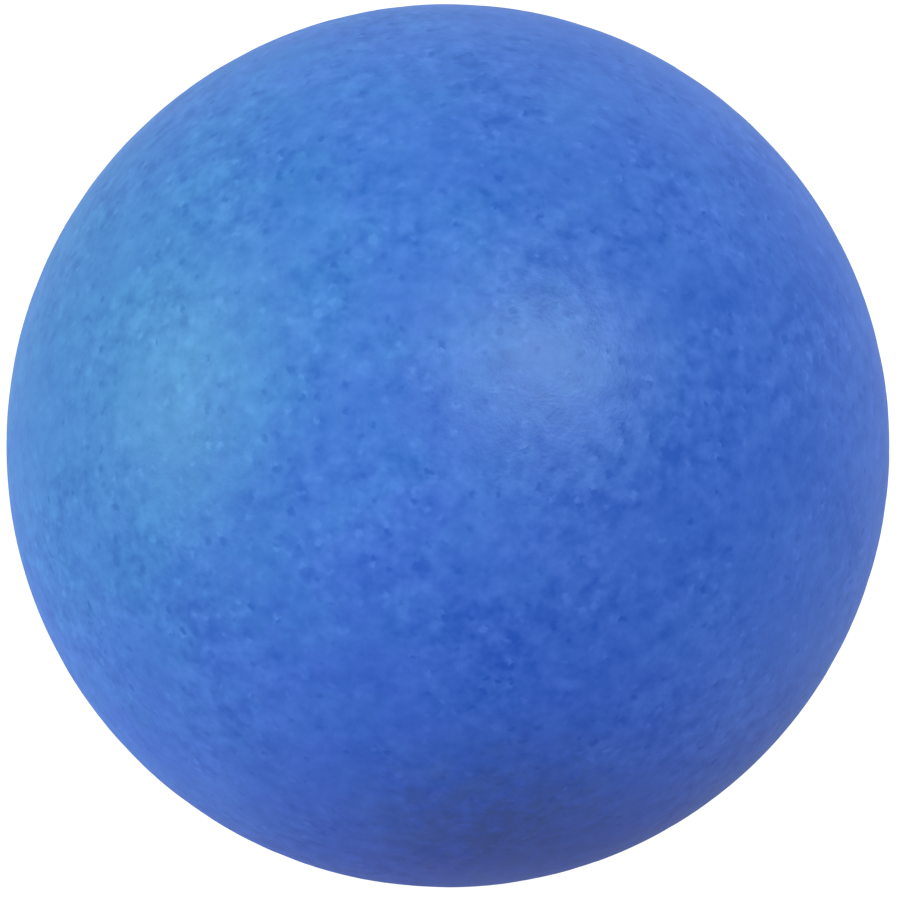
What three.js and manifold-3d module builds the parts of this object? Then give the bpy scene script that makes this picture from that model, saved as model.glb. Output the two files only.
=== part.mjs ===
// A low-bounce street hockey ball of soft PVC: two moulded half shells that lock together with a
// tongue and groove, the weld seam that closes them at the equator, and the plug of the vent hole.
// Millimetres, +Z up. The origin is the point where the ball touches the floor.
import * as THREE from "three";
import { mergeVertices } from "three/addons/utils/BufferGeometryUtils.js";
import Module from "manifold-3d";

const wasm = await Module();
wasm.setup();

// Driving dimensions
const ballDiameter = 66;
const wallThickness = 4.5;
const roundSegments = 72; // facets around the ball
const domeSteps = 18; // facets from equator to pole, outside
const liningSteps = 12; // the same, inside
const smallSegments = 28; // facets around the plug
const headSteps = 4; // facets from the plug head's rim to its middle
const filletSteps = 3;

// Joint between the halves
const landGap = 0.1; // film of melt between the two flat lands
const tongueHeight = 1.8;
const tongueRootWidth = 1.5;
const tongueTipWidth = 1.1;
const tongueFit = 0.15; // clearance at each side of the tongue
const flashTrap = 0.6; // room under the tongue for squeezed-out melt
const beadRadius = 0.5; // weld bead on each half, inside the cavity
const beadSteps = 5;

// Weld seam, trimmed almost flush with the ball
const seamChamfer = 0.55;
const seamFit = 0.05;
const seamCrown = 0.08;
const seamCrownShare = 0.55; // of the seam's width is level, and the rest slopes to the ball

// Vent plug, below the equator at the back
const ventBelowEquator = 30; // degrees
const plugHeadRadius = 2.8;
const plugHeadThickness = 1.2;
const plugStemRadius = 1.4;
const plugBarbRadius = 1.9;
const plugBarbLength = 2.2;
const plugBarbLand = 0.4; // straight stretch at the barb's widest
const plugTipRadius = 1;
const plugRecess = 0.12; // the head sits this far under the ball's surface
const plugFit = 0.2;
const holeRimChamfer = 0.25;
const bossRadius = 4.4;
const bossHeight = 2; // thicker pad inside the wall, for the plug's grip
const bossRounding = 0.6;
const cutterOverrun = 1; // the hole is cut from this far above the ball to this far past the boss

const outerRadius = ballDiameter / 2;
const innerRadius = outerRadius - wallThickness;
const landRadius = (outerRadius + innerRadius) / 2; // centre line of tongue and groove
const halfGap = landGap / 2;

const softBlue = new THREE.Color(0x4474cc);
const shellMaterial = new THREE.MeshStandardMaterial({ color: softBlue, roughness: 0.62, metalness: 0 });
const seamMaterial = new THREE.MeshStandardMaterial({ color: 0x3c69bf, roughness: 0.5, metalness: 0 });
const plugMaterial = new THREE.MeshStandardMaterial({ color: 0x3a66ba, roughness: 0.55, metalness: 0 });

// Profiles are lists of (distance from the axis, height along it).
const at = (radius, height) => new THREE.Vector2(radius, height);

function arc(centreRadius, centreHeight, radius, fromAngle, toAngle, steps) {
  return Array.from({ length: steps + 1 }, (_, i) => {
    const angle = THREE.MathUtils.lerp(fromAngle, toAngle, i / steps);
    return at(centreRadius + radius * Math.cos(angle), centreHeight + radius * Math.sin(angle));
  });
}

// Meets the axis exactly, so that a pole is one point.
function domeArc(radius, fromAngle, steps) {
  const points = arc(0, 0, radius, fromAngle, Math.PI / 2, steps);
  points[steps].set(0, radius);
  return points;
}

// Turns a profile about the Z axis. The profile runs upwards on the outside of the solid.
function revolve(profile, segments) {
  return new THREE.LatheGeometry(profile, segments).rotateX(Math.PI / 2);
}

const flipped = (profile) => profile.map((p) => at(p.x, -p.y)).reverse();

function toSolid(geometry) {
  const bare = geometry.clone();
  bare.deleteAttribute("normal");
  bare.deleteAttribute("uv");
  const merged = mergeVertices(bare, 1e-4);
  return new wasm.Manifold(
    new wasm.Mesh({
      numProp: 3,
      vertProperties: new Float32Array(merged.attributes.position.array),
      triVerts: new Uint32Array(merged.index.array),
    }),
  );
}

function toGeometry(solid) {
  const mesh = solid.getMesh();
  const geometry = new THREE.BufferGeometry();
  geometry.setAttribute("position", new THREE.BufferAttribute(mesh.vertProperties, 3));
  geometry.setIndex(new THREE.BufferAttribute(mesh.triVerts, 1));
  geometry.computeVertexNormals();
  return geometry;
}

// One half shell, dome upwards. The joint's points run inwards along the land, from the seam's
// chamfer to the bead.
function halfShellProfile(jointPoints) {
  const chamferTop = halfGap + seamChamfer;
  const beadTop = halfGap + 2 * beadRadius;
  const outside = domeArc(outerRadius, Math.asin(chamferTop / outerRadius), domeSteps);
  const inside = domeArc(innerRadius, Math.asin(beadTop / innerRadius), liningSteps);
  const bead = arc(innerRadius, halfGap + beadRadius, beadRadius, 1.5 * Math.PI, 0.5 * Math.PI, beadSteps);
  bead.pop(); // it ends on the wall's first point
  return [
    ...inside.reverse(),
    ...bead.reverse(),
    ...jointPoints.reverse(),
    at(outerRadius - seamChamfer, halfGap),
    ...outside,
  ];
}

function tonguePoints() {
  const root = tongueRootWidth / 2;
  const tip = tongueTipWidth / 2;
  return [
    at(landRadius + root, halfGap),
    at(landRadius + tip, -tongueHeight),
    at(landRadius - tip, -tongueHeight),
    at(landRadius - root, halfGap),
  ];
}

// The groove follows the tongue's taper, a little wider and deeper.
function groovePoints() {
  const root = tongueRootWidth / 2 + tongueFit;
  const tip = tongueTipWidth / 2 + tongueFit;
  const floor = tongueHeight + flashTrap;
  return [
    at(landRadius + root, halfGap),
    at(landRadius + tip, floor),
    at(landRadius - tip, floor),
    at(landRadius - root, halfGap),
  ];
}

// Fills the V between the two chamfers and stands a little proud as a low crown.
function seamProfile() {
  const drop = seamFit * Math.SQRT2;
  const bottom = outerRadius - seamChamfer - halfGap + drop;
  const halfMouth = halfGap + seamChamfer - drop;
  const crown = outerRadius + seamCrown;
  const halfCrown = seamCrownShare * halfMouth;
  return [
    at(bottom, 0),
    at(outerRadius, -halfMouth),
    at(crown, -halfCrown),
    at(crown, halfCrown),
    at(outerRadius, halfMouth),
    at(bottom, 0),
  ];
}

// The vent's profiles measure their heights from the ball's centre, along the hole.
const headTop = outerRadius - plugRecess;
const headSeat = headTop - plugHeadThickness;
const bossTop = innerRadius - bossHeight;

function ventCutterProfile() {
  const bore = plugStemRadius + plugFit;
  const recess = plugHeadRadius + plugFit;
  const rim = Math.sqrt(outerRadius ** 2 - recess ** 2); // height of the surface at the rim
  const start = bossTop - cutterOverrun;
  const end = outerRadius + cutterOverrun;
  return [
    at(0, start),
    at(bore, start),
    at(bore, headSeat - plugFit),
    at(recess, headSeat - plugFit),
    at(recess, rim - holeRimChamfer),
    at(recess + 2 * holeRimChamfer, rim + holeRimChamfer),
    at(recess + 2 * holeRimChamfer, end),
    at(0, end),
  ];
}

function bossProfile() {
  const root = innerRadius + wallThickness / 3; // sunk into the wall
  return [
    at(0, bossTop),
    ...arc(bossRadius - bossRounding, bossTop + bossRounding, bossRounding, -Math.PI / 2, 0, filletSteps),
    at(bossRadius, root),
    at(0, root),
  ];
}

// Domed head, stem, and a barb that snaps open behind the boss.
function plugProfile() {
  const barbTop = bossTop - plugFit;
  const headAngle = Math.acos(plugHeadRadius / headTop);
  return [
    at(0, barbTop - plugBarbLength),
    at(plugTipRadius, barbTop - plugBarbLength),
    at(plugBarbRadius, barbTop - plugBarbLand),
    at(plugBarbRadius, barbTop),
    at(plugStemRadius, barbTop),
    at(plugStemRadius, headSeat),
    at(plugHeadRadius, headSeat),
    ...domeArc(headTop, headAngle, headSteps),
  ];
}

const ventTilt = -THREE.MathUtils.degToRad(90 + ventBelowEquator);

function lowerShellGeometry() {
  const shell = toSolid(revolve(flipped(halfShellProfile(groovePoints())), roundSegments));
  const boss = toSolid(revolve(bossProfile(), smallSegments).rotateX(ventTilt));
  const hole = toSolid(revolve(ventCutterProfile(), smallSegments).rotateX(ventTilt));
  return toGeometry(shell.add(boss).subtract(hole));
}

function piece(name, geometry, material) {
  const mesh = new THREE.Mesh(geometry, material);
  mesh.name = name;
  return mesh;
}

const ball = new THREE.Group();
ball.position.z = outerRadius;
ball.add(piece("upper_half_shell", revolve(halfShellProfile(tonguePoints()), roundSegments), shellMaterial));
ball.add(piece("lower_half_shell", lowerShellGeometry(), shellMaterial));
ball.add(piece("weld_seam", revolve(seamProfile(), roundSegments), seamMaterial));

const vent = new THREE.Group();
vent.rotation.x = ventTilt;
vent.add(piece("vent_plug", revolve(plugProfile(), smallSegments), plugMaterial));
ball.add(vent);

const part = new THREE.Group();
part.add(ball);

export default part;
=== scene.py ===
from math import acos, cos, pi, radians, sin, sqrt, tau

import bmesh
import bpy
from mathutils import Matrix, Vector, noise


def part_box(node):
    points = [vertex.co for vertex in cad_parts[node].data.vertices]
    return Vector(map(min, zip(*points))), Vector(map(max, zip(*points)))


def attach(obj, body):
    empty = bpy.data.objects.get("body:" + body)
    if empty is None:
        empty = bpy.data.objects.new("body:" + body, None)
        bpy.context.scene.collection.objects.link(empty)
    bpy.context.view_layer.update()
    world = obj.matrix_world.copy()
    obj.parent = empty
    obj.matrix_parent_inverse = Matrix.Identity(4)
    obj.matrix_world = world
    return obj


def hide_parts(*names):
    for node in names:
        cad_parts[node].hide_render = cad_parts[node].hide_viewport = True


# A low-bounce street hockey ball in soft blue PVC: two half shells welded at the equator, with a
# vent plug at the back. Everything is in metres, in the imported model's own frame.
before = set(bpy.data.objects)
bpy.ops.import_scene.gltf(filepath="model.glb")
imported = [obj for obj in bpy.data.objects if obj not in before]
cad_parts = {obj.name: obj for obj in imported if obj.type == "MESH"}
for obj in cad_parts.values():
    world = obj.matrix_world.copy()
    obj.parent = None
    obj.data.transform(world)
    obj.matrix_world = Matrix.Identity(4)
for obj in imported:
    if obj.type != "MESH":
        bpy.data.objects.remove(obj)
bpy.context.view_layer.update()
print("frame: loaded", ", ".join(sorted(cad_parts)))

mm = 0.001
body = "root"
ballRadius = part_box("upper_half_shell")[1].z / 2
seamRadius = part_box("weld_seam")[1].x
centre = Vector((0, 0, ballRadius))
sharpAngle = radians(38)        # steeper corners than this are shaded as edges
hair = 0.01 * mm                # points this close to a surface count as on it


def stitch(bm, near, far):
    # joins two rings of points with faces, whatever their counts; a ring of one is a pole
    if len(far) == 1:
        near, far = far, near
    if len(near) == 1:
        for i in range(len(far)):
            bm.faces.new((near[0], far[i - 1], far[i]))
        return
    if len(near) == len(far):
        for i in range(len(near)):
            bm.faces.new((near[i - 1], near[i], far[i], far[i - 1]))
        return
    i = j = 0
    while i < len(near) or j < len(far):
        if (i + 1) * len(far) < (j + 1) * len(near):
            bm.faces.new((near[i % len(near)], near[(i + 1) % len(near)], far[j % len(far)]))
            i += 1
        else:
            bm.faces.new((near[i % len(near)], far[(j + 1) % len(far)], far[j % len(far)]))
            j += 1


def spin(rings, closed=False):
    # rings are (radius, height, points); a closed list of rings ends on its first one
    bm = bmesh.new()
    loops = []
    for radius, height, count in rings:
        turns = [tau * i / count for i in range(count)]
        loops.append([bm.verts.new((radius * cos(a), radius * sin(a), height)) for a in turns])
    for near, far in zip(loops, loops[1:]):
        stitch(bm, near, far)
    if closed:
        stitch(bm, loops[-1], loops[0])
    bmesh.ops.recalc_face_normals(bm, faces=bm.faces)
    return bm


def domeRings(radius, endAngle, count):
    # ring k has six times k points, so that the faces at the pole are as even as the others
    rings = [(0, radius, 1)]
    for k in range(1, count + 1):
        angle = endAngle * k / count
        rings.append((radius * sin(angle), radius * cos(angle), 6 * k))
    return rings


def softened(points, reach, steps=3):
    # the same outline with its corners rounded off
    result = [points[0]]
    for before, corner, after in zip(points, points[1:], points[2:]):
        start = corner + (before - corner).normalized() * reach
        end = corner + (after - corner).normalized() * reach
        for i in range(steps + 1):
            share = i / steps
            result.append(start.lerp(corner, share).lerp(corner.lerp(end, share), share))
    result.append(points[-1])
    return result


def ringsOf(points, count):
    return [(p.x, p.y, count if p.x else 1) for p in points]


def ease(value, low, high):
    share = min(max((value - low) / (high - low), 0), 1)
    return share * share * (3 - 2 * share)


def makePiece(name, bm, material, place):
    mesh = bpy.data.meshes.new(name)
    bm.to_mesh(mesh)
    bm.free()
    mesh.transform(place)
    mesh.materials.append(material)
    mesh.shade_smooth()
    mesh.set_sharp_from_angle(angle=sharpAngle)
    piece = bpy.data.objects.new(name, mesh)
    bpy.context.scene.collection.objects.link(piece)
    return piece


class Wire:
    # a node's output that can be used in sums
    def __init__(self, finish, socket):
        self.finish = finish
        self.socket = socket

    def maths(self, operation, first, second):
        return self.finish.node("ShaderNodeMath", {"operation": operation}, {0: first, 1: second})

    def __add__(self, other):
        return self.maths("ADD", self, other)

    def __radd__(self, other):
        return self.maths("ADD", other, self)

    def __sub__(self, other):
        return self.maths("SUBTRACT", self, other)

    def __rsub__(self, other):
        return self.maths("SUBTRACT", other, self)

    def __mul__(self, other):
        return self.maths("MULTIPLY", self, other)

    def __rmul__(self, other):
        return self.maths("MULTIPLY", other, self)


class Finish:
    # the node tree of one finish
    def __init__(self, owner):
        owner.use_nodes = True
        self.owner = owner
        self.tree = owner.node_tree
        self.tree.nodes.clear()

    def node(self, kind, settings, sockets, output=0):
        node = self.tree.nodes.new(kind)
        for key, value in settings.items():
            setattr(node, key, value)
        for key, value in sockets.items():
            if isinstance(value, Wire):
                self.tree.links.new(value.socket, node.inputs[key])
            else:
                node.inputs[key].default_value = value
        return Wire(self, node.outputs[output]) if node.outputs else node

    def place(self, scale, shift=(0, 0, 0)):
        # where a point is, in millimetres times the scale, which may differ by axis, plus the shift
        spot = self.node("ShaderNodeTexCoord", {}, {}, "Object")
        scales = scale if isinstance(scale, tuple) else (scale, scale, scale)
        settings = {"operation": "MULTIPLY_ADD"}
        return self.node("ShaderNodeVectorMath", settings, {0: spot, 1: Vector(scales) / mm, 2: shift})

    def reach(self, target):
        # how far a point is from the target, in metres
        spot = self.node("ShaderNodeTexCoord", {}, {}, "Object")
        return self.node("ShaderNodeVectorMath", {"operation": "DISTANCE"}, {0: spot, 1: target}, "Value")

    def clouds(self, spot, detail=2.0, roughness=0.5, output="Fac"):
        sockets = {"Vector": spot, "Scale": 1.0, "Detail": detail, "Roughness": roughness}
        return self.node("ShaderNodeTexNoise", {"noise_dimensions": "3D"}, sockets, output)

    def between(self, value, low, high, start=0.0, end=1.0):
        sockets = {"Value": value, "From Min": low, "From Max": high, "To Min": start, "To Max": end}
        return self.node("ShaderNodeMapRange", {"interpolation_type": "SMOOTHSTEP"}, sockets)

    def blend(self, share, first, second):
        settings = {"data_type": "RGBA", "blend_type": "MIX"}
        return self.node("ShaderNodeMix", settings, {0: share, 6: first, 7: second}, 2)

    def bump(self, height, strength, distance, under=None):
        sockets = {"Height": height, "Strength": strength, "Distance": distance}
        if under:
            sockets["Normal"] = under
        return self.node("ShaderNodeBump", {}, sockets)

    def plastic(self, look, shade, roughness, normal):
        shader = self.node("ShaderNodeBsdfPrincipled", {}, {
            "Base Color": shade, "Roughness": roughness, "Normal": normal,
            "Specular IOR Level": look["specular"], "IOR": look["ior"]})
        self.node("ShaderNodeOutputMaterial", {}, {"Surface": shader})
        return self.owner


def lighter(shade, amount):
    # red swings most and blue least, as thick and thin pigment do
    swings = (2.1, 1.15, 0.5)
    return (*[level * (1 + swing * amount) for level, swing in zip(shade, swings)], 1)


pvcLook = {
    "blue": (0.065, 0.168, 0.715),
    "swing": 0.25,              # how far the palest and deepest spots stand from the blue
    "broad": 0.75,              # strengths of the clouds, from wide to fine, and of the flecks
    "mottle": 1.6,
    "spots": 0.57,
    "blots": 0.16,
    "broadScale": 0.14,         # clouds and flecks to the millimetre
    "mottleScale": 0.62,
    "spotScale": 1.0,
    "blotScale": 0.42,
    "patchScale": 0.12,
    "hueScale": 0.17,
    "patches": (0.7, 1.4),      # how weak and how strong the mottle gets from patch to patch
    "cyan": (0.052, 0.201, 0.682),
    "cyanShare": 0.5,
    "cyanPaintedLightReach": (20 * mm, 55 * mm),            # painted window light: fewer cyan clouds this far from the window side
    "cyanPaintedLightFarShare": 0.3,
    # painted window light: the window side is blended into this greener blue
    "paintedWindowLight": (0.055, 0.216, 0.550),
    "paintedWindowLightShare": 0.55,
    "paintedWindowLightPlace": centre + Vector((-28, 6, 17)) * mm,
    "paintedWindowLightReach": (5 * mm, 34 * mm),
    "paintedShadeShare": 0.16,                          # painted shade: the side away from the window is a little deeper
    "paintedShadePlace": centre + Vector((26, 7, 20)) * mm,
    "paintedShadeReach": (4 * mm, 26 * mm),
    "gloss": 0.455,             # roughness
    "specular": 0.45,
    "ior": 1.52,
    "grain": 0.04 * mm,
}


def flecks(finish, scale, shift, reach, quiet=0.2, bends=0.8):
    # small round marks, some pale and some dark; quiet is the share of them that can't be seen
    bend = finish.clouds(finish.place(1.7 * scale, shift), 1.0, output="Color")
    spot = finish.node("ShaderNodeVectorMath", {"operation": "MULTIPLY_ADD"}, {
        0: bend, 1: (bends, bends, bends), 2: finish.place(scale, shift)})
    away = finish.node("ShaderNodeTexVoronoi", {"feature": "F1"}, {"Vector": spot, "Scale": 1.0}, "Distance")
    chance = finish.node("ShaderNodeTexVoronoi", {"feature": "F1"}, {"Vector": spot, "Scale": 1.0}, "Color")
    chance = finish.node("ShaderNodeSeparateColor", {}, {0: chance}, "Red")
    pale = finish.between(chance, 0.5 + quiet / 2, 1.0)
    dark = finish.between(chance, 0.0, 0.5 - quiet / 2, 1.0, 0.0)
    return finish.between(away, 0.05, reach, 1.0, 0.0) * (pale - dark)


def pigmentAndPaintedLight(finish, look):
    # clouds of several sizes with flecks in them, stronger in some patches than in others; painted window
    # light tints one side greener and painted shade deepens the other side
    broad = finish.clouds(finish.place(look["broadScale"], (33, 4, 12)))
    mottle = finish.clouds(finish.place(look["mottleScale"], (7, 3, 1)), 1.7, 0.8)
    small = flecks(finish, look["spotScale"], (1, 9, 4), 0.46)
    large = flecks(finish, look["blotScale"], (5, 2, 7), 0.48)
    patch = finish.clouds(finish.place(look["patchScale"], (4, 4, 4)))
    patch = finish.between(patch, 0.35, 0.65, *look["patches"])
    level = look["mottle"] * (mottle - 0.5) + look["spots"] * small + look["blots"] * large
    # painted shade: darker on the side away from the window
    paintedShade = finish.between(finish.reach(look["paintedShadePlace"]), *look["paintedShadeReach"], look["paintedShadeShare"], 0.0)
    level = 0.5 + level * patch + look["broad"] * (broad - 0.5) - paintedShade
    blue, cyan, paintedWindowLight = [
        finish.blend(level, lighter(look[name], -look["swing"]), lighter(look[name], look["swing"]))
        for name in ("blue", "cyan", "paintedWindowLight")]
    hue = finish.clouds(finish.place(look["hueScale"], (51, 0, 2)), 3.0, 0.65)
    # the cyan clouds are the plastic's own tone, and gathering them on the window side is painted window
    # light
    wide = finish.between(finish.reach(look["paintedWindowLightPlace"]), *look["cyanPaintedLightReach"],
                          1.0, look["cyanPaintedLightFarShare"])
    shade = finish.blend(wide * finish.between(hue, 0.40, 0.68, 0.0, look["cyanShare"]), blue, cyan)
    # painted window light: the greener blue fades in towards the window side
    paintedWindowLightMask = finish.between(finish.reach(look["paintedWindowLightPlace"]), *look["paintedWindowLightReach"], 1.0, 0.0)
    return finish.blend(look["paintedWindowLightShare"] * paintedWindowLightMask, shade, paintedWindowLight), mottle, small


shellLook = {
    **pvcLook,
    # painted shade at the ball's front, greyer and darker
    "paintedFrontShade": 0.55,
    "paintedFrontShadeColour": (0.055, 0.105, 0.330, 1),
    "paintedFrontShadePlace": centre + Vector((4.0, -27.5, 17.0)) * mm,
    "paintedFrontShadeReach": (1.0 * mm, 15.0 * mm),
}


def paintFrontShade(finish, look, shade):
    # painted shade: a greyed, darker patch at the ball's front, broken up at its edge
    frontShadeMask = finish.between(finish.reach(look["paintedFrontShadePlace"]), *look["paintedFrontShadeReach"], 1.0, 0.0)
    ragged = finish.between(finish.clouds(finish.place(0.5, (6, 1, 3)), 3.0, 0.7), 0.25, 0.75)
    return finish.blend(look["paintedFrontShade"] * frontShadeMask * (0.4 + 1.2 * ragged), shade, look["paintedFrontShadeColour"])


def shellFinish(look):
    # the mould leaves a fine matt grain, and the marks stand or sink a little
    finish = Finish(bpy.data.materials.new("soft_pvc"))
    shade, mottle, marks = pigmentAndPaintedLight(finish, look)
    # painted shade at the ball's front
    shade = paintFrontShade(finish, look, shade)
    polish = finish.clouds(finish.place(0.16, (3, 3, 9)), 3.0)
    roughness = look["gloss"] + 0.10 * (polish - 0.5) + 0.08 * (mottle - 0.5)
    fineGrain = finish.clouds(finish.place(3.6), 2.0, 0.6)
    normal = finish.bump(fineGrain, 0.6, look["grain"])
    normal = finish.bump(mottle + 0.3 * marks, 0.5, look["grain"], normal)
    return finish.plastic(look, shade, roughness, normal)


shellMaterial = shellFinish(shellLook)
print("finish: soft PVC of the shells")

shellShape = {
    "wall": 4.5 * mm,
    "landGap": 0.1 * mm,        # between the two flat lands
    "chamfer": 0.55 * mm,       # outer corner, where the weld seam lies
    "tongueHeight": 1.8 * mm,
    "tongueRoot": 1.5 * mm,
    "tongueTip": 1.1 * mm,
    "tongueFit": 0.15 * mm,
    "flashTrap": 0.6 * mm,
    "bead": 0.5 * mm,           # weld bead inside
    "rounding": 0.12 * mm,
    "outerRings": 138,
    "innerRings": 40,
    "jointPoints": 288,
    "waviness": 0.03 * mm,      # slow unevenness of the soft skin
    "waveScale": 0.09,          # waves, grain and pits to the millimetre
    "grain": 0.010 * mm,
    "grainScale": 0.9,
    "pitDepth": 0.03 * mm,
    "pitScale": 0.33,
    "pitReach": (0.05, 0.17),
    "trueEdge": 1.5 * mm,       # the skin is even this close to the seam
}


def jointOutline(shape, isTongue):
    # runs inwards along the land; heights grow into the half's own shell
    halfGap = shape["landGap"] / 2
    fit = 0 if isTongue else shape["tongueFit"]
    depth = -shape["tongueHeight"] if isTongue else shape["tongueHeight"] + shape["flashTrap"]
    middle = ballRadius - shape["wall"] / 2
    root = shape["tongueRoot"] / 2 + fit
    tip = shape["tongueTip"] / 2 + fit
    return softened([Vector((ballRadius - shape["chamfer"], halfGap)), Vector((middle + root, halfGap)),
                     Vector((middle + tip, depth)), Vector((middle - tip, depth)),
                     Vector((middle - root, halfGap)), Vector((ballRadius - shape["wall"], halfGap))],
                    shape["rounding"])


def beadOutline(shape, steps=8):
    halfGap = shape["landGap"] / 2
    middle = Vector((ballRadius - shape["wall"], halfGap + shape["bead"]))
    turns = [pi * (1.5 - i / steps) for i in range(1, steps)]
    return [middle + shape["bead"] * Vector((cos(a), sin(a))) for a in turns]


def skinHeight(spot, shape, seed):
    # how far the outer skin stands off a true sphere
    spot = spot / mm + Vector((seed, 0, 0))
    wave = noise.noise(spot * shape["waveScale"]) * shape["waviness"]
    grain = noise.fractal(spot * shape["grainScale"], 1.0, 2.0, 2) * shape["grain"]
    pit = 1 - ease(noise.voronoi(spot * shape["pitScale"])[0][0], *shape["pitReach"])
    return wave + grain - pit * shape["pitDepth"]


def halfShell(shape, isTongue, seed):
    halfGap = shape["landGap"] / 2
    rimHeight = halfGap + shape["chamfer"]
    innerRadius = ballRadius - shape["wall"]
    wallStart = halfGap + 2 * shape["bead"]
    outside = domeRings(ballRadius, acos(rimHeight / ballRadius), shape["outerRings"])
    inside = domeRings(innerRadius, acos(wallStart / innerRadius), shape["innerRings"])
    joint = ringsOf(jointOutline(shape, isTongue) + beadOutline(shape), shape["jointPoints"])
    bm = spin(outside + joint + inside[::-1])
    for vertex in bm.verts:
        if vertex.co.length > ballRadius - hair:
            edge = ease(vertex.co.z, rimHeight, rimHeight + shape["trueEdge"])
            vertex.co += vertex.co.normalized() * skinHeight(vertex.co, shape, seed) * edge
    return bm


upperShell = makePiece("ball_upper_half", halfShell(shellShape, True, 11), shellMaterial,
                       Matrix.Translation(centre))
turnOver = Matrix.Translation(centre) @ Matrix.Rotation(pi, 4, "X")
lowerShell = makePiece("ball_lower_half", halfShell(shellShape, False, 47), shellMaterial, turnOver)
print("half shells:", len(upperShell.data.polygons), "and", len(lowerShell.data.polygons), "faces")

ventShape = {
    "belowEquator": radians(30),
    "headRadius": 2.8 * mm,
    "headThickness": 1.2 * mm,
    "stemRadius": 1.4 * mm,
    "barbRadius": 1.9 * mm,
    "barbLength": 2.2 * mm,
    "barbLand": 0.4 * mm,
    "tipRadius": 1.0 * mm,
    "recess": 0.12 * mm,        # the head sits this far under the skin
    "fit": 0.2 * mm,
    "rimChamfer": 0.25 * mm,
    "bossRadius": 4.4 * mm,
    "bossHeight": 2.0 * mm,
    "bossRounding": 0.5 * mm,
    "rounding": 0.12 * mm,
    "points": 96,
    "headRings": 36,
    "headShare": 0.92,          # share of the head inside its rounded rim
    "gateRadius": 0.55 * mm,    # moulding gate in the middle of the head
    "gateDepth": 0.13 * mm,
    "stubHeight": 0.09 * mm,    # what the clipped gate leaves in its dimple
}

ventPlace = Matrix.Translation(centre) @ Matrix.Rotation(-pi / 2 - ventShape["belowEquator"], 4, "X")
headTop = ballRadius - ventShape["recess"]
headSeat = headTop - ventShape["headThickness"]
bossTop = ballRadius - shellShape["wall"] - ventShape["bossHeight"]


def plugMesh(shape):
    barbTop = bossTop - shape["fit"]
    headAngle = acos(sqrt(headTop ** 2 - shape["headRadius"] ** 2) / headTop)
    rimHeight = headTop * cos(headAngle)
    # the first point only sets the slope at the rim
    outline = softened([Vector((shape["headRadius"] - 0.2 * mm, rimHeight + 0.02 * mm)),
                        Vector((shape["headRadius"], rimHeight)),
                        Vector((shape["headRadius"], headSeat)), Vector((shape["stemRadius"], headSeat)),
                        Vector((shape["stemRadius"], barbTop)), Vector((shape["barbRadius"], barbTop)),
                        Vector((shape["barbRadius"], barbTop - shape["barbLand"])),
                        Vector((shape["tipRadius"], barbTop - shape["barbLength"])),
                        Vector((0, barbTop - shape["barbLength"]))], shape["rounding"])
    head = domeRings(headTop, shape["headShare"] * headAngle, shape["headRings"])
    bm = spin(head + ringsOf(outline[1:], shape["points"]))
    for vertex in bm.verts:
        if vertex.co.length > headTop - hair:
            away = sqrt(vertex.co.x ** 2 + vertex.co.y ** 2)
            dip = 1 - ease(away, 0.6 * shape["gateRadius"], shape["gateRadius"])
            stub = 1 - ease(away, 0.2 * shape["gateRadius"], 0.4 * shape["gateRadius"])
            vertex.co.z += stub * shape["stubHeight"] - dip * shape["gateDepth"]
    return bm


def bossMesh(shape):
    root = ballRadius - 0.6 * shellShape["wall"]        # inside the wall, so that the two join
    outline = softened([Vector((0, bossTop)), Vector((shape["bossRadius"], bossTop)),
                        Vector((shape["bossRadius"], root)), Vector((0, root))], shape["bossRounding"])
    return spin(ringsOf(outline, shape["points"]))


def holeMesh(shape):
    bore = shape["stemRadius"] + shape["fit"]
    recess = shape["headRadius"] + shape["fit"]
    rim = sqrt(ballRadius ** 2 - recess ** 2)
    chamfer = shape["rimChamfer"]
    outline = [Vector((0, bossTop - mm)), Vector((bore, bossTop - mm)),
               Vector((bore, headSeat - shape["fit"])), Vector((recess, headSeat - shape["fit"])),
               Vector((recess, rim - chamfer)), Vector((recess + 0.4 * chamfer, rim - 0.3 * chamfer)),
               Vector((recess + 2 * chamfer, rim + chamfer)),
               Vector((recess + 2 * chamfer, ballRadius + mm)), Vector((0, ballRadius + mm))]
    return spin(ringsOf(outline, shape["points"]))


def combine(piece, bm, operation):
    tool = makePiece("tool", bm, shellMaterial, ventPlace)
    step = piece.modifiers.new(operation, "BOOLEAN")
    step.object = tool
    step.operation = operation
    step.solver = "EXACT"
    shaped = bpy.data.meshes.new_from_object(piece.evaluated_get(bpy.context.evaluated_depsgraph_get()))
    piece.modifiers.clear()
    piece.data = shaped
    bpy.data.objects.remove(tool)


def weldPoints(mesh, reach):
    # the cuts leave slivers with no width, which this closes up
    bm = bmesh.new()
    bm.from_mesh(mesh)
    bmesh.ops.remove_doubles(bm, verts=bm.verts, dist=reach)
    bmesh.ops.dissolve_degenerate(bm, edges=bm.edges, dist=reach)
    bm.to_mesh(mesh)
    bm.free()


combine(lowerShell, bossMesh(ventShape), "UNION")
combine(lowerShell, holeMesh(ventShape), "DIFFERENCE")
weldPoints(lowerShell.data, 0.1 * hair)
lowerShell.data.shade_smooth()
lowerShell.data.set_sharp_from_angle(angle=sharpAngle)

plugLook = {**pvcLook, "blue": (0.056, 0.148, 0.680), "swing": 0.14, "gloss": 0.40, "grain": 0.03 * mm,
            "ringScale": 600}


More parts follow.
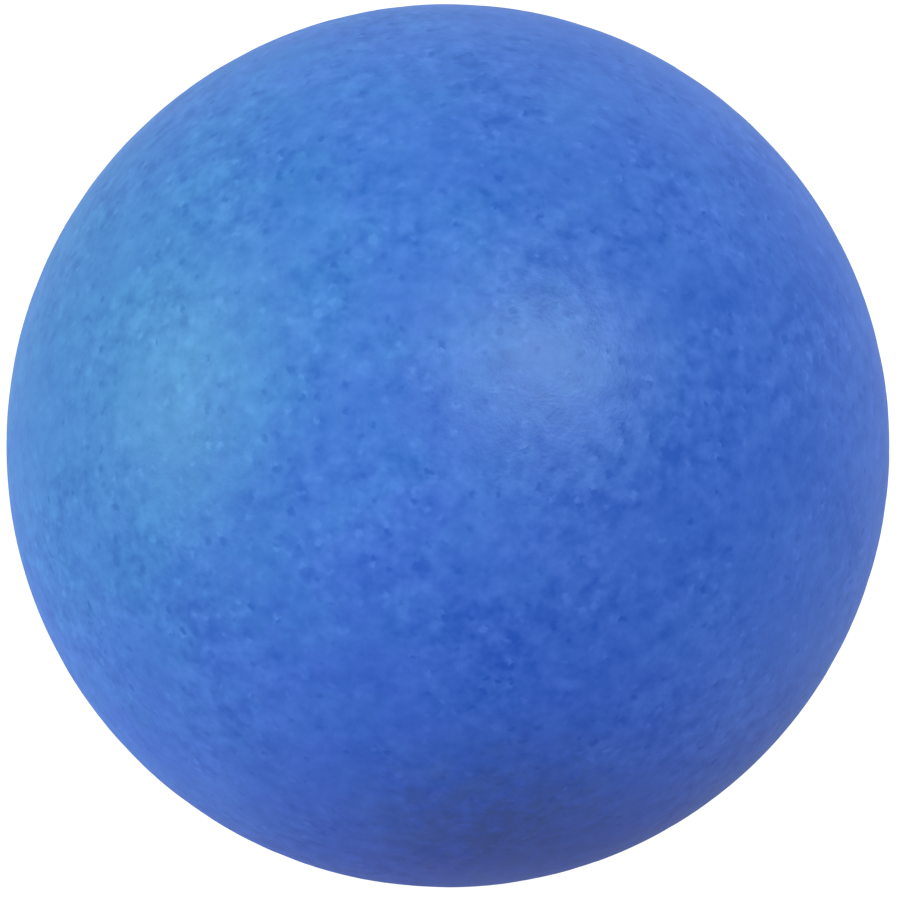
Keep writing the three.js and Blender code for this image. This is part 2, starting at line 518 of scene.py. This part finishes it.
def plugFinish(look):
    # a satin moulding, with faint rings that spread from its gate
    finish = Finish(bpy.data.materials.new("plug_pvc"))
    shade, mottle, _ = pigmentAndPaintedLight(finish, look)
    fineGrain = finish.clouds(finish.place(3.0), 2.0, 0.6)
    spot = finish.node("ShaderNodeTexCoord", {}, {}, "Object")
    spot = finish.node("ShaderNodeVectorRotate", {"rotation_type": "X_AXIS"}, {
        "Vector": spot, "Center": centre, "Angle": pi / 2 + ventShape["belowEquator"]})
    spot = finish.node("ShaderNodeVectorMath", {"operation": "SUBTRACT"}, {0: spot, 1: centre})
    rings = finish.node("ShaderNodeTexWave", {"wave_type": "RINGS", "rings_direction": "Z"}, {
        "Vector": spot, "Scale": look["ringScale"], "Distortion": 1.2, "Detail": 1.0}, "Fac")
    roughness = look["gloss"] + 0.08 * (mottle - 0.5) + 0.05 * (rings - 0.5)
    normal = finish.bump(fineGrain + 0.8 * rings, 0.7, look["grain"])
    return finish.plastic(look, shade, roughness, normal)


plug = makePiece("ball_vent_plug", plugMesh(ventShape), plugFinish(plugLook), ventPlace)
print("vent: plug with", len(plug.data.polygons), "faces")

seamShape = {
    "fit": 0.05 * mm,
    "points": 900,
    "crownSteps": 8,
    "heightWander": 0.25,       # share of the crown that the trimming takes off here and there
    "wanderScale": 0.35,
    "nicks": 0.12,
    "nickScale": 1.8,
    "edgeWander": 0.04 * mm,
    "edgeScale": 0.5,
}


def seamMesh(shape):
    halfGap = shellShape["landGap"] / 2
    drop = shape["fit"] * sqrt(2)
    bottom = ballRadius - shellShape["chamfer"] - halfGap + drop
    halfMouth = halfGap + shellShape["chamfer"] - drop
    crown = seamRadius - ballRadius
    outline = [Vector((bottom, 0))]
    for i in range(shape["crownSteps"] + 1):
        across = 2 * i / shape["crownSteps"] - 1
        outline.append(Vector((ballRadius + crown * (1 - across ** 2), halfMouth * across)))
    bm = spin(ringsOf(outline, shape["points"]), closed=True)
    for vertex in bm.verts:
        away = sqrt(vertex.co.x ** 2 + vertex.co.y ** 2)
        proud = max(away - ballRadius, 0)
        if proud:
            spot = vertex.co / mm
            trim = shape["heightWander"] * ease(noise.noise(spot * shape["wanderScale"]), -0.1, 0.5)
            trim += shape["nicks"] * ease(noise.noise(spot * shape["nickScale"]), 0, 0.6)
            vertex.co.xy *= (away - proud * trim) / away
            vertex.co.z += noise.noise(spot * shape["edgeScale"]) * shape["edgeWander"] * proud / crown
    return bm


seamLook = {**pvcLook, "blue": (0.058, 0.152, 0.690), "swing": 0.16, "gloss": 0.44, "grain": 0.05 * mm}


def seamFinish(look):
    # the trimming knife drags fine lines along the ring
    finish = Finish(bpy.data.materials.new("weld_pvc"))
    shade = pigmentAndPaintedLight(finish, look)[0]
    lines = finish.clouds(finish.place((0.12, 0.12, 9.0)), 2.0, 0.6)
    chatter = finish.clouds(finish.place(1.6, (4, 1, 2)), 2.0)
    roughness = look["gloss"] + 0.20 * (lines - 0.5) + 0.08 * (chatter - 0.5)
    normal = finish.bump(lines + 0.5 * chatter, 0.8, look["grain"])
    return finish.plastic(look, shade, roughness, normal)


seam = makePiece("ball_weld_seam", seamMesh(seamShape), seamFinish(seamLook), Matrix.Translation(centre))
print("seam:", len(seam.data.polygons), "faces")

for piece, node, slot in ((upperShell, "upper_half_shell", "shell"),
                          (lowerShell, "lower_half_shell", "shell"),
                          (seam, "weld_seam", "seam"), (plug, "vent_plug", "plug")):
    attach(piece, body)
    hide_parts(node)

floorLook = {
    "size": 6,
    "shade": (0.9, 0.9, 0.9, 1),
    "lift": 0.3,
    "paper": 1.1,                           # brightness of the floor beyond the ball's own shadow
    "shadowReach": (14 * mm, 38 * mm),
    "bounce": (0.35, 0.35, 0.35, 1),        # what the ball gets back of the lamps' light
    "glow": (0.29, 0.38, 0.67, 1),
    "paintedCardGlow": (0.12, 0.05, 0.0, 1),       # painted shade: the glow is dimmer at the ball's front, as if a dark sheet lay on the floor there
    "paintedCardPlace": (14 * mm, -85 * mm, 0),
    "paintedCardReach": (30 * mm, 80 * mm),
    "underGlow": (0.05, 0.06, 0.08, 1),     # the ball shades the floor that it stands on
    "underReach": (4 * mm, 42 * mm),
    "drop": 0.02 * mm,                      # keeps the floor clear of the ball's lowest point
}


def floorFinish(look):
    # the camera sees white paper with a shadow under the ball; the ball sees the glow that lights it
    finish = Finish(bpy.data.materials.new("pale_floor"))
    shadowed = finish.node("ShaderNodeBsdfPrincipled", {}, {
        "Base Color": look["shade"], "Roughness": 0.9, "Specular IOR Level": 0.0,
        "Emission Color": (1, 1, 1, 1), "Emission Strength": look["lift"]})
    paper = finish.node("ShaderNodeEmission", {}, {"Color": (1, 1, 1, 1), "Strength": look["paper"]})
    beyond = finish.between(finish.reach((0, 0, 0)), *look["shadowReach"])
    seen = finish.node("ShaderNodeMixShader", {}, {0: beyond, 1: shadowed, 2: paper})
    # painted shade: the glow is dimmer at the ball's front, so that front gets less light
    glow = finish.blend(finish.between(finish.reach(look["paintedCardPlace"]), *look["paintedCardReach"]),
                        look["paintedCardGlow"], look["glow"])
    glow = finish.blend(finish.between(finish.reach((0, 0, 0)), *look["underReach"]),
                        look["underGlow"], glow)
    felt = finish.node("ShaderNodeBsdfPrincipled", {}, {
        "Base Color": look["bounce"], "Roughness": 0.9, "Specular IOR Level": 0.0,
        "Emission Color": glow, "Emission Strength": 1.0})
    camera = finish.node("ShaderNodeLightPath", {}, {}, "Is Camera Ray")
    mixed = finish.node("ShaderNodeMixShader", {}, {0: camera, 1: felt, 2: seen})
    finish.node("ShaderNodeOutputMaterial", {}, {"Surface": mixed})
    return finish.owner


def makeFloor(look):
    bm = bmesh.new()
    bmesh.ops.create_grid(bm, x_segments=8, y_segments=8, size=look["size"] / 2)
    floor = makePiece("floor", bm, floorFinish(look), Matrix.Translation((0, 0, -look["drop"])))


makeFloor(floorLook)

# soft boxes and windows of a room with tinted light; power is in watts
lights = {
    "window": {"towards": (-0.9, 0.3, 0.3), "size": 0.6, "power": 2.4, "tint": (0.56, 1.0, 0.50)},
    "doorway": {"towards": (-0.93, 0.0, 0.35), "size": 0.5, "power": 2.2, "tint": (0.50, 1.0, 0.62)},
    "lamp": {"towards": (0.49, 0.36, 0.79), "size": 0.28, "power": 2.4, "tint": (0.71, 1.0, 0.88)},
    "farLamp": {"towards": (0.24, 0.37, 0.90), "size": 0.28, "power": 1.8, "tint": (0.76, 1.0, 0.74)},
    "ceiling": {"towards": (0, 0, 1), "size": 1.2, "power": 1.18, "tint": (0.57, 0.49, 1.0)},
    "skylight": {"towards": (-0.55, 0.55, 0.5), "size": 1.0, "power": 0.8, "tint": (0.8, 1.0, 0.5)},
    "sidePanel": {"towards": (-0.6, -0.6, 0.5), "size": 1.0, "power": 1.95, "tint": (0.52, 0.40, 1.0)},
}
lightDistance = 0.8

for name, setup in lights.items():
    lamp = bpy.data.lights.new(name, "AREA")
    lamp.shape = "DISK"
    lamp.size = setup["size"]
    lamp.energy = setup["power"]
    lamp.color = setup["tint"]
    holder = bpy.data.objects.new(name, lamp)
    direction = Vector(setup["towards"]).normalized()
    holder.location = centre + direction * lightDistance
    holder.rotation_mode = "QUATERNION"
    holder.rotation_quaternion = direction.to_track_quat("Z", "Y")
    holder.visible_camera = False
    bpy.context.scene.collection.objects.link(holder)
print("lights:", len(lights))

roomLook = {"room": 0.06, "roomTint": (0.55, 0.85, 1.0, 1), "backdrop": 1.1}


def makeRoom(look):
    # dim to the ball and plain white to the camera
    world = bpy.data.worlds.new("room")
    bpy.context.scene.world = world
    finish = Finish(world)
    room = finish.node("ShaderNodeBackground", {}, {"Color": look["roomTint"], "Strength": look["room"]})
    plain = finish.node("ShaderNodeBackground", {}, {"Color": (1, 1, 1, 1), "Strength": look["backdrop"]})
    camera = finish.node("ShaderNodeLightPath", {}, {}, "Is Camera Ray")
    mixed = finish.node("ShaderNodeMixShader", {}, {0: camera, 1: room, 2: plain})
    finish.node("ShaderNodeOutputWorld", {}, {"Surface": mixed})


makeRoom(roomLook)
bpy.context.scene.view_settings.view_transform = "Standard"

cameraSetup = {
    "height": 0.9,              # above the ball's middle
    "fill": 0.9815,             # share of the frame's width that the ball takes
    "aside": Vector((0.16, -0.32, 0)) * mm,
}
cameraData = bpy.data.cameras.new("camera")
camera = bpy.data.objects.new("camera", cameraData)
camera.location = centre + cameraSetup["aside"] + Vector((0, 0, cameraSetup["height"]))
cameraData.lens = cameraSetup["fill"] * cameraData.sensor_width / 2 * cameraSetup["height"] / seamRadius
bpy.context.scene.collection.objects.link(camera)
bpy.context.scene.camera = camera
print("camera: lens of", round(cameraData.lens), "mm")
